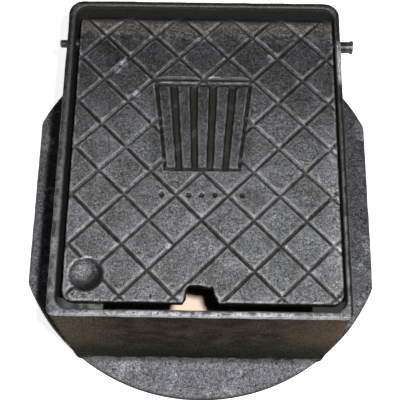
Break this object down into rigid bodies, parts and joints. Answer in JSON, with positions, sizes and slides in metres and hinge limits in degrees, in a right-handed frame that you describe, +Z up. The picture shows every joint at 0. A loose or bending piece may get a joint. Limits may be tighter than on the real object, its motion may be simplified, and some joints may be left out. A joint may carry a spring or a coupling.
{
  "type": "stopcock box",
  "caption": "Cast-iron stopcock box: a deep open-bottomed frame on a bedding flange, with a hinged lid that is scored in diamonds and has a key slot.",
  "frame": {"origin": "middle of the bedding flange's outline, on its underside", "axes": "+Z up, -Y the front where the lid opens, +Y the hinge side, +X to the right of someone at the front"},
  "size_m": [0.235, 0.274, 0.125],
  "materials": {
    "frame_iron": "sand cast, black bitumen coat, worn grey on the rim",
    "lid_iron": "sand cast, black bitumen coat, scuffed grey on top",
    "pin_steel": "plain steel bar, dark and lightly rusted"
  },
  "bodies": {
    "box_frame": {"frame": "frame_iron", "hinge_pin": "pin_steel"},
    "box_lid": {"lid": "lid_iron"}
  },
  "joints": [
    {"name": "lid_hinge", "type": "hinge", "parent": "box_frame", "child": "box_lid", "pos_m": [0, 0.063, 0.1125], "axis": [-1, 0, 0], "range_deg": [0, 112]}
  ]
}
